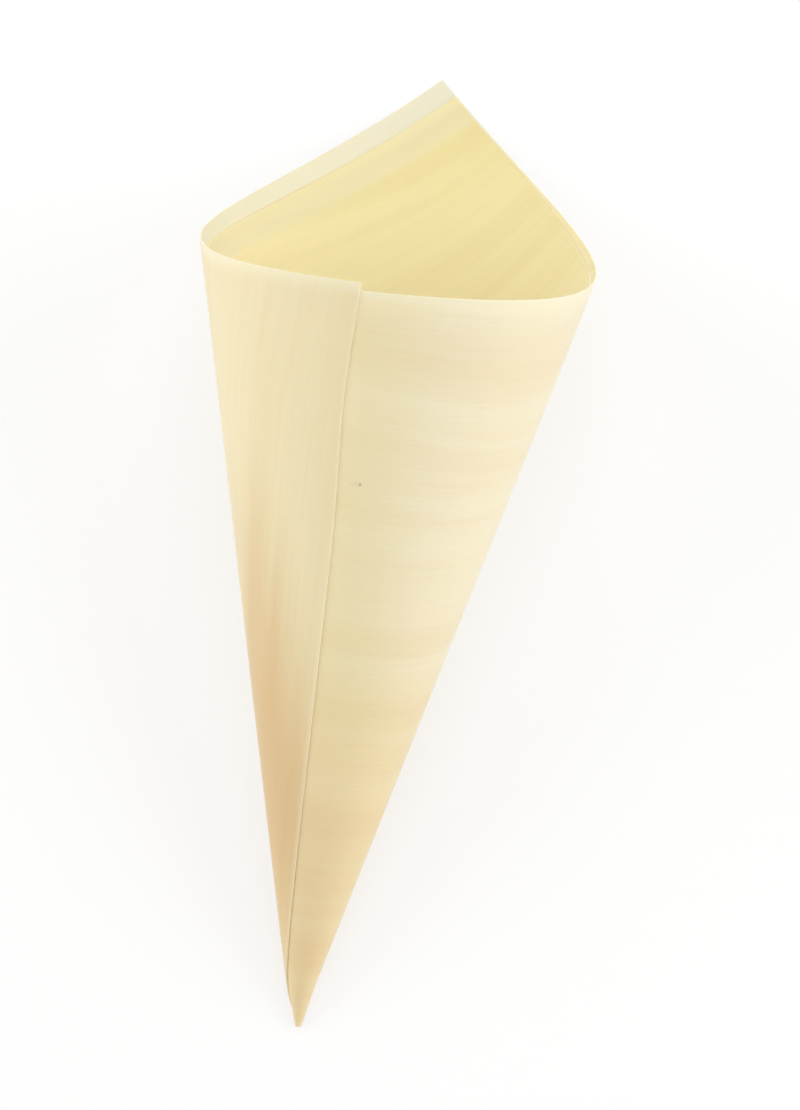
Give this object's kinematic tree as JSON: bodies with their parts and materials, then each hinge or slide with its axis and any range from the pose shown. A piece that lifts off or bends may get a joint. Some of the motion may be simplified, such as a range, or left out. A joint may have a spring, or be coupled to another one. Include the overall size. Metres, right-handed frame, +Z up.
{
  "type": "wooden food cone",
  "caption": "Pointed serving cone rolled from one sheet of pale wood veneer, with a lapped front seam and a tall corner at the back of its open mouth.",
  "frame": {"origin": "under the middle of the lying cone, on the surface that it lies on", "axes": "+Z up, +Y along the side that it lies on, from the tip to the tall corner of the mouth, +X to the right as seen from the tip"},
  "size_m": [0.0682, 0.177, 0.0607],
  "materials": {
    "veneer": "raw sliced veneer, matt, fine straight grain along the sheet"
  },
  "bodies": {
    "root": {"cone": "veneer"}
  },
  "joints": []
}
